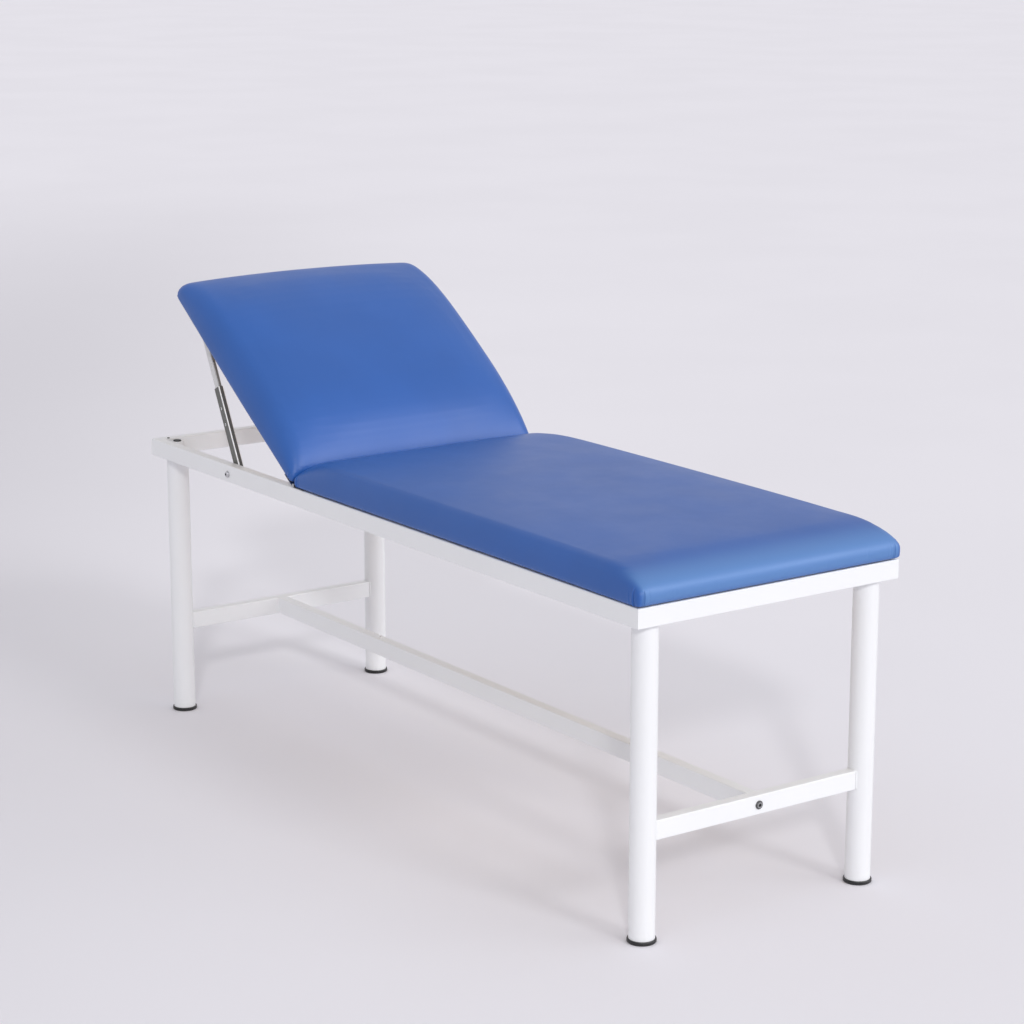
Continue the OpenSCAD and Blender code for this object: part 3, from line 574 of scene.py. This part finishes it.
def belly(piece, pad):
    """Pushes the outer end and the sides out over the frame's edge, most a little above the base."""
    places = points(piece)
    along = pad.outward * (places[:, 0] - pad.middle)
    height = np.clip((places[:, 2] - UNDERSIDE) / BELLY_TOP, 0, 1)
    from_end = np.clip(1 - (pad.half_l - along) / BELLY_REACH, 0, 1)
    from_side = np.clip(1 - (HALF_WIDTH - abs(places[:, 1])) / BELLY_REACH, 0, 1)
    swell = np.sin(np.pi * height ** 0.6)
    places[:, 0] += pad.outward * pad.end_belly * swell * from_end ** 2
    places[:, 1] += np.sign(places[:, 1]) * pad.side_belly * swell * from_side ** 2
    set_points(piece, places)


def soften_nose(piece, pad):
    """Evens out the roll at the outer end, apart from the edge of its base."""
    nose = piece.vertex_groups.new(name="nose")
    for i, (x, y, z) in enumerate(points(piece)):
        in_nose = (pad.outward * (x - pad.middle) - pad.half_l + NOSE_LENGTH) / NOSE_FADE
        off_base = (z - UNDERSIDE - NOSE_BASE) / NOSE_BASE_FADE
        weight = min(1.0, in_nose) * min(1.0, off_base)
        if weight > 0:
            nose.add([i], weight, "REPLACE")
    even = piece.modifiers.new("nose", "SMOOTH")
    even.factor, even.iterations, even.vertex_group = 0.5, NOSE_PASSES, "nose"
    apply_modifiers(piece)
    piece.vertex_groups.clear()


def make_cushion(name, pad, slack, held, free, swell):
    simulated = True
    piece = start_form(name, pad, slack if simulated else 0.0)
    remesh = piece.modifiers.new("even", "REMESH")
    remesh.mode = "VOXEL"
    remesh.voxel_size = 6 * MM
    apply_modifiers(piece)
    belly(piece, pad)
    soften_nose(piece, pad)
    if simulated:
        inflate(piece, held, free, swell)
    finer = piece.modifiers.new("finer", "SUBSURF")
    finer.levels = finer.render_levels = 1
    apply_modifiers(piece)
    piece.data.polygons.foreach_set("use_smooth", [True] * len(piece.data.polygons))
    piece.data.materials.clear()
    piece.data.materials.append(vinyl)
    return piece


SEAT = Pad(
    inner_end=-0.282, outer_end=0.950, side=26 * MM, top=66.5 * MM, crown=13 * MM, end_edge=124 * MM,
    side_edge=22 * MM, bow=1.5 * MM, end_bow=0.0, radius=6 * MM, end_belly=8 * MM, side_belly=2.5 * MM,
    hinge_edge=85 * MM, hinge_drop=7 * MM)
BACK = Pad(
    inner_end=-0.298, outer_end=-0.930, side=14 * MM, top=75.5 * MM, crown=30 * MM, end_edge=232 * MM,
    side_edge=40 * MM, bow=6 * MM, end_bow=12 * MM, radius=24 * MM, end_belly=0.0, side_belly=0.0,
    hinge_edge=40 * MM, hinge_drop=0.0)


def finer_corners(piece, spots, reach):
    """Splits the lower faces near some spots, given in plan, so that pleats can be narrow there."""
    bm = bmesh.new()
    bm.from_mesh(piece.data)
    for _ in range(2):
        reach *= 0.8
        low = [v for v in bm.verts if v.co.z < UNDERSIDE + 0.055]
        close = {v for v in low if any((v.co.xy - spot).length < reach for spot in spots)}
        edges = [e for e in bm.edges if e.verts[0] in close and e.verts[1] in close]
        bmesh.ops.subdivide_edges(bm, edges=edges, cuts=1, use_grid_fill=True, smooth=0.6)
    bm.to_mesh(piece.data)
    bm.free()
    piece.data.polygons.foreach_set("use_smooth", [True] * len(piece.data.polygons))


def pleat(piece, foot, top, inward, width, depth):
    """Tucks the cover in along a line, deepest at its foot, with a small ridge beside it."""
    foot, run, inward = np.array(foot), np.array(top) - np.array(foot), np.array(inward, dtype=float)
    length = np.linalg.norm(run)
    across = np.cross(run / length, inward / np.linalg.norm(inward))
    places = points(piece)
    away = places - foot
    share = away @ run / length ** 2
    depth_off = np.clip(abs(away @ inward) / PLEAT_REACH, 0, 1)
    fade = np.clip(1 - share, 0, 1) ** 0.5 * np.clip(1 + share * length / PLEAT_FOOT, 0, 1)
    fade = fade * (1 - depth_off ** 4)
    beside = away @ across
    shape = np.exp(-(beside / width) ** 2) - 0.5 * np.exp(-((beside - 2.1 * width) / width) ** 2)
    near = (share < 1) & (abs(beside) < 5 * width) & (depth_off < 1)
    places[near] += (inward * depth) * (shape * fade)[near, None]
    set_points(piece, places)


def open_base(piece, pad):
    """Lifts the middle of the underside into the board, so that the cover ends in a hem round it."""
    edge_x, edge_y = pad.half_l - HEM, HALF_WIDTH - HEM
    for vertex in piece.data.vertices:
        x, y, z = vertex.co
        if z < UNDERSIDE + 2 * MM and abs(x - pad.middle) < edge_x and abs(y) < edge_y:
            vertex.co.z = BOARD_UNDERSIDE + 2 * MM


# Pleats: the place along their side in metres (in the corners the turn in degrees), then the height of foot
# and top, the width and the depth in millimetres
FOOT_END_PLEATS = (
    (0.3145, 4, 34, 1.2, 4.6), (0.3030, 8, 40, 2.2, 0.7),
    (0.2420, 12, 33, 1.5, 1.0), (0.1370, 12, 30, 2.0, 0.4))
SEAT_SIDE_PLEATS = (
    (0.9385, 2, 38, 1.2, 4.4), (0.9280, 6, 30, 2.2, 0.6),
    (-0.2660, 3, 34, 1.4, 2.6), (-0.2560, 6, 28, 2.2, 0.5))
BACK_SIDE_PLEATS = ((-0.3110, 2, 24, 1.7, 1.4), (-0.3210, 4, 20, 1.7, 0.6))
BACK_CORNER_PLEATS = (
    (20, 2, 22, 1.7, 1.0), (38, 1, 26, 1.7, 1.5), (55, 2, 24, 1.7, 1.3), (72, 3, 20, 1.7, 0.8))
FAR_PLEATS_IN = 6 * MM


def side_pleats(piece, rows, foot_y, top_y):
    """Pleats in one long side of a cushion."""
    inward = (0, -math.copysign(1, foot_y), 0)
    for along, low, high, wide, deep in rows:
        foot, top = (along, foot_y, UNDERSIDE + low * MM), (along, top_y, UNDERSIDE + high * MM)
        pleat(piece, foot, top, inward, wide * MM, deep * MM)


seat_cushion = make_cushion("seat_cushion", SEAT, slack=0.5 * MM, held=14 * MM, free=30 * MM,
                            swell=1.5 * MM)
finer_corners(seat_cushion, [Vector((x, y)) for x in (-0.276, 0.948) for y in (-0.324, 0.324)], 0.060)
for side in (-1, 1):
    for across, low, high, wide, deep in FOOT_END_PLEATS:
        y = side * (across - (0.0 if side < 0 else FAR_PLEATS_IN))
        pleat(seat_cushion, (0.954, y, UNDERSIDE + low * MM), (0.953, y, UNDERSIDE + high * MM), (-1, 0, 0),
              wide * MM, deep * MM)
    side_pleats(seat_cushion, SEAT_SIDE_PLEATS, side * 0.3285, side * 0.328)
open_base(seat_cushion, SEAT)
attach(seat_cushion, "frame")
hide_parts("seat_cover", "seat_foam")

backrest_cushion = make_cushion("backrest_cushion", BACK, slack=1.5 * MM, held=9 * MM, free=22 * MM,
                                swell=3 * MM)
finer_corners(backrest_cushion, [Vector((x, y)) for x in (-0.304, -0.918) for y in (-0.320, 0.320)], 0.060)
for side in (-1, 1):
    for turn, low, high, wide, deep in BACK_CORNER_PLEATS:
        way = Vector((-math.cos(math.radians(turn)), side * math.sin(math.radians(turn)), 0))
        at = Vector((-0.902, side * 0.299, UNDERSIDE)) + way * 0.028
        pleat(backrest_cushion, at + Vector((0, 0, low * MM)), at + Vector((0, 0, high * MM)), -way,
              wide * MM, deep * MM)
    side_pleats(backrest_cushion, BACK_SIDE_PLEATS, side * 0.328, side * 0.327)
open_base(backrest_cushion, BACK)
backrest_cushion.data.transform(RAISED)
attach(backrest_cushion, "backrest")
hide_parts("back_cover", "back_foam")

# Small parts: staples in the covers' hems, weld beads, bolt heads and rivets

STAPLE_BEND = [(-5, 1.2), (-5, -0.25), (-4.7, -0.55), (4.7, -0.55), (5, -0.25), (5, 1.2)]
STAPLE_WIRE = [(-0.6 * MM, -0.25 * MM), (0.6 * MM, -0.25 * MM),
               (0.6 * MM, 0.25 * MM), (-0.6 * MM, 0.25 * MM)]
STAPLE_STEP = 36 * MM
STAPLES_IN = 14 * MM
ROW_END = 24 * MM


def swept(bm, path, section, closed):
    """Adds a bar along a path. Section gives its corners for one step as (out, up) pairs."""
    rings = []
    count = len(path)
    for k, point in enumerate(path):
        before = path[k - 1 if closed or k else 0]
        after = path[(k + 1) % count if closed or k + 1 < count else k]
        way = (after - before).normalized()
        out = way.orthogonal() if abs(way.z) > 0.999 else way.cross(Vector((0, 0, 1))).normalized()
        up = out.cross(way)
        rings.append([bm.verts.new(point + out * a + up * b) for a, b in section(k)])
    for k in range(count if closed else count - 1):
        one, two = rings[k], rings[(k + 1) % count]
        for a in range(len(one)):
            b = (a + 1) % len(one)
            bm.faces.new([one[a], one[b], two[b], two[a]])
    if not closed:
        bm.faces.new(rings[0])
        bm.faces.new(list(reversed(rings[-1])))


def finished(name, bm, finish, body, smooth=True):
    bmesh.ops.recalc_face_normals(bm, faces=bm.faces)
    mesh = bpy.data.meshes.new(name)
    bm.to_mesh(mesh)
    bm.free()
    mesh.materials.append(finish)
    mesh.polygons.foreach_set("use_smooth", [smooth] * len(mesh.polygons))
    piece = bpy.data.objects.new(name, mesh)
    scene.collection.objects.link(piece)
    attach(piece, body)
    return piece


def staples(name, pad, body, seed):
    """Wire staples that hold the cover's hem to the board, a little uneven in step and turn."""
    draw = random.Random(seed)
    bm = bmesh.new()
    edge_x, edge_y = pad.half_l - STAPLES_IN, HALF_WIDTH - STAPLES_IN
    rows = [((-1, 0), (0, -edge_y), edge_x), ((1, 0), (0, edge_y), edge_x),
            ((0, -1), (edge_x, 0), edge_y), ((0, 1), (-edge_x, 0), edge_y)]
    for (dx, dy), (mx, my), half in rows:
        for k in range(int(2 * (half - ROW_END) / STAPLE_STEP) + 1):
            far = -half + ROW_END + k * STAPLE_STEP + draw.uniform(-3, 3) * MM
            turn = Matrix.Rotation(math.atan2(dy, dx) + draw.uniform(-0.16, 0.16), 4, "Z")
            place = Vector((pad.middle + mx + dx * far + draw.uniform(-1.5, 1.5) * MM * abs(dy),
                            my + dy * far + draw.uniform(-1.5, 1.5) * MM * abs(dx), UNDERSIDE))
            path = [place + turn @ Vector((a * MM, 0, b * MM)) for a, b in STAPLE_BEND]
            swept(bm, path, lambda k: STAPLE_WIRE, False)
    return finished(name, bm, zinc, body, smooth=False)


staples("seat_staples", SEAT, "frame", 3)
backrest_staples = staples("backrest_staples", BACK, "backrest", 8)
backrest_staples.data.transform(RAISED)


def bead(bm, path, thick, draw, closed=True):
    """A weld bead: a round bar with the small even ripple of its steps."""
    swell = draw.uniform(0, 6)

    def ring(k):
        r = thick * (1 + 0.10 * math.sin(2.1 * k + swell) + draw.uniform(-0.04, 0.04))
        return [(r * math.cos(a * math.pi / 4), r * math.sin(a * math.pi / 4)) for a in range(8)]

    swept(bm, path, ring, closed)


def rounded_box(low, high, corner, step=1.5 * MM):
    """Points round a rectangle with rounded corners."""
    (ax, ay), (bx, by) = low, high
    outline = []
    corners = ((bx - corner, by - corner, 0), (ax + corner, by - corner, 90),
               (ax + corner, ay + corner, 180), (bx - corner, ay + corner, 270))
    for cx, cy, start in corners:
        for turn in range(0, 91, 15):
            angle = math.radians(start + turn)
            outline.append(Vector((cx + corner * math.cos(angle), cy + corner * math.sin(angle))))
    spaced = []
    for one, two in zip(outline, outline[1:] + outline[:1]):
        parts = max(1, round((two - one).length / step))
        spaced += [one.lerp(two, k / parts) for k in range(parts)]
    return spaced


TUBE_CORNER = 2.5 * MM
LEG_RADIUS = 26 * MM
BOSS_RADIUS = 14 * MM
draw = random.Random(21)
beads = bmesh.new()
for end in ("head", "foot"):
    low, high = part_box(end + "_stretcher")
    for side in ("near", "far"):
        leg_low, leg_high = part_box("leg_%s_%s" % (end, side))
        leg = (leg_low + leg_high) / 2
        inward = 1 if side == "near" else -1
        ring = [Vector((q.x, leg.y + inward * math.sqrt(LEG_RADIUS ** 2 - (q.x - leg.x) ** 2), q.y))
                for q in rounded_box((low.x, low.z), (high.x, high.z), TUBE_CORNER)]
        bead(beads, ring, 1.7 * MM, draw)
low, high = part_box("cross_members")
wide = high.z - low.z
for middle in (low.x + wide / 2, (low.x + high.x) / 2, high.x - wide / 2):
    for y in (low.y, high.y):
        around_end = rounded_box((middle - wide / 2, low.z), (middle + wide / 2, high.z), TUBE_CORNER)
        under = [Vector((q.x, y, q.y)) for q in around_end if q.y < high.z - 3 * MM]
        first = max(range(len(under)), key=lambda k: (under[k] - under[k - 1]).length)
        bead(beads, under[first:] + under[:first], 1.6 * MM, draw, closed=False)
low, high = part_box("corner_bosses")
for cx in (low.x + BOSS_RADIUS, high.x - BOSS_RADIUS):
    for cy in (low.y + BOSS_RADIUS, high.y - BOSS_RADIUS):
        turns = [t / 30 * math.pi for t in range(60)]
        ring = [Vector((cx + BOSS_RADIUS * math.cos(t), cy + BOSS_RADIUS * math.sin(t), low.z))
                for t in turns]
        bead(beads, ring, 1.4 * MM, draw)
finished("weld_beads", beads, paint, "frame")


def turned(bm, profile, centre, facing, sides):
    """Turns a profile about an axis along Y."""
    profile = [(r * MM, h * MM) for r, h in profile]
    turns = [2 * math.pi * k / sides for k in range(sides)]
    rings = [[bm.verts.new(centre + Vector((r * math.cos(t), facing * h, r * math.sin(t)))) for t in turns]
             for r, h in profile]
    for one, two in zip(rings, rings[1:]):
        for k in range(sides):
            bm.faces.new([one[k], one[(k + 1) % sides], two[(k + 1) % sides], two[k]])
    bm.faces.new(rings[0])
    bm.faces.new(rings[-1])


# Turned profiles: pairs of radius and height, in millimetres
WASHER = [(8.2, 0.0), (8.2, 0.9), (7.9, 1.2), (6.4, 1.2)]
BUTTON = [(6.9, 1.1), (6.9, 2.0), (6.5, 3.4), (5.6, 4.8), (4.5, 5.7), (3.4, 6.1), (3.0, 6.0), (2.8, 5.7)]
DRIVE_HOLE = [(2.8, 5.7), (2.7, 3.8), (0.4, 3.8)]
RIVET = [(3.4, -0.3), (3.4, 0.3), (2.9, 0.8), (1.8, 1.15), (0.5, 1.25)]
RIVET_PLACES = (0.585, 0.78)  # shares of the channel's length from its foot
CHANNEL_END = 12 * MM


def button_heads():
    """Chromed button heads and washers over the strut's lower bolts, with the drive hole painted dark as a painted
    shade in the recess.
    """
    low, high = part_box("strut_bolts")
    centre_x, centre_z = (low.x + high.x) / 2, (low.z + high.z) / 2
    bm = bmesh.new()
    for facing in (-1, 1):
        centre = Vector((centre_x, facing * HALF_FRAME, centre_z))
        for profile, sides in ((WASHER, 48), (BUTTON, 48), (DRIVE_HOLE, 6)):
            turned(bm, profile, centre, facing, sides)
    piece = finished("strut_bolt_buttons", bm, chrome, "frame", smooth=False)
    piece.data.materials.append(black_oxide)
    for face in piece.data.polygons:
        rise = abs(face.center.y) - HALF_FRAME
        reach = math.hypot(face.center.x - centre_x, face.center.z - centre_z)
        # The drive hole's faces take the dark blackened steel: a painted shade in the recess
        face.material_index = int(reach < 2.75 * MM and rise < 5.6 * MM)
        face.use_smooth = reach > 2.9 * MM and len(face.vertices) == 4


button_heads()


def guide_rivets(side, facing):
    """Two low rivet heads on the channel's outer face, which hold the guide for the bar inside it."""
    low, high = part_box("strut_outer_" + side)
    bm = bmesh.new()
    outer = high.y if facing > 0 else low.y
    foot_x, head_x = high.x - CHANNEL_END, low.x + CHANNEL_END
    foot_z, head_z = low.z + CHANNEL_END, high.z - CHANNEL_END
    for share in RIVET_PLACES:
        centre = Vector((foot_x + (head_x - foot_x) * share, outer, foot_z + (head_z - foot_z) * share))
        turned(bm, RIVET, centre, facing, 32)
    finished("guide_rivets_" + side, bm, channel_steel, "channel_" + side)


guide_rivets("near", -1)
guide_rivets("far", 1)

# Floor, light and camera


def sun(name, place, strength, softness):
    """A soft far lamp. Place is the side that it shines from, and softness its breadth in degrees."""
    light = bpy.data.lights.new(name, "SUN")
    light.energy, light.angle = strength, math.radians(softness)
    made = bpy.data.objects.new(name, light)
    made.location = Vector(place) * 4
    made.rotation_mode = "QUATERNION"
    made.rotation_quaternion = (-Vector(place)).to_track_quat("-Z", "Y")
    scene.collection.objects.link(made)


FLOOR_REACH = 400.0
PAINTED_SHADE_SIDE = Vector((-0.577, -0.817, 0.0))
SOFTBOX_SIDE = Vector((0.72, 0.60, 0.35))
SOFTBOX_STRENGTH = 3.6


def floor_finish():
    """A pale studio floor with a painted shade: a little darker on one side near the table."""
    f = Finish("studio_floor")
    soft_patches = f.noise(0.8, 2.0)
    tint = f.mix(soft_patches.between(0.3, 0.7), linear(239, 237, 243), linear(241, 239, 245))
    aside = f.node("ShaderNodeVectorMath", {"operation": "DOT_PRODUCT"}, f.place(), PAINTED_SHADE_SIDE,
                   output="Value")
    away = f.node("ShaderNodeVectorMath", {"operation": "LENGTH"}, f.place(), output="Value")
    # Painted shade: darker towards one side near the table, fading out far away
    painted_shade = aside.between(0.2, 2.2) * away.between(5.0, 14.0, 1.0, 0.0)
    tint = f.mix(painted_shade, tint, linear(221, 219, 225))
    return f.surface(tint, 0.85, Specular_IOR_Level=0.2)


bm = bmesh.new()
bmesh.ops.create_grid(bm, x_segments=8, y_segments=8, size=FLOOR_REACH)
floor_mesh = bpy.data.meshes.new("floor")
bm.to_mesh(floor_mesh)
bm.free()
floor = bpy.data.objects.new("floor", floor_mesh)
floor.data.materials.append(floor_finish())
scene.collection.objects.link(floor)
floor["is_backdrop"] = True

world = bpy.data.worlds.new("surroundings")
scene.world = world
world.use_nodes = True
around = Finish("surroundings", world.node_tree)


def ray(kind):
    return around.node("ShaderNodeLightPath", {}, output=kind)


def towards(axis):
    """How far a ray goes along one axis."""
    return around.node("ShaderNodeSeparateXYZ", {}, direction, output=axis)


direction = around.node("ShaderNodeTexCoord", {}, output="Generated")
seen = ray("Is Camera Ray").largest(ray("Is Glossy Ray")).largest(ray("Is Transmission Ray"))
fill_strength = 0.655 + towards("X") * 0.03 + towards("Y") * 0.06
fill = around.node("ShaderNodeBackground", {}, around.colour((0.985, 0.98, 1.0)), fill_strength)
softbox = around.node("ShaderNodeVectorMath", {"operation": "DOT_PRODUCT"}, direction, SOFTBOX_SIDE,
                      output="Value")
in_gloss = softbox.between(0.80, 0.98) * towards("Z").between(0.10, 0.28) * ray("Is Glossy Ray")
shown = around.node("ShaderNodeBackground", {}, around.colour(linear(226, 224, 230)),
                    in_gloss * SOFTBOX_STRENGTH + 1.0)
around.node("ShaderNodeOutputWorld", {}, around.node("ShaderNodeMixShader", {}, seen, fill, shown))

sun("soft_light", (0.84, 0.12, 0.53), strength=0.56, softness=14.0)
sun("front_light", (0.75, -0.48, 0.46), strength=0.66, softness=5.0)
sun("side_light", (0.71, 0.62, 0.34), strength=0.42, softness=40.0)

camera_data = bpy.data.cameras.new("camera")
camera_data.lens, camera_data.sensor_width = 94.07, 36.0
camera_data.clip_end = 1000.0  # past the floor's far edge
camera = bpy.data.objects.new("camera", camera_data)
camera.location = (4.686, -3.246, 1.9704)
camera.rotation_mode = "XYZ"
camera.rotation_euler = (math.radians(90 - 13.222), 0.0, math.radians(54.777))
scene.collection.objects.link(camera)
scene.camera = camera
scene.view_settings.view_transform = "Standard"

low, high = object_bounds()
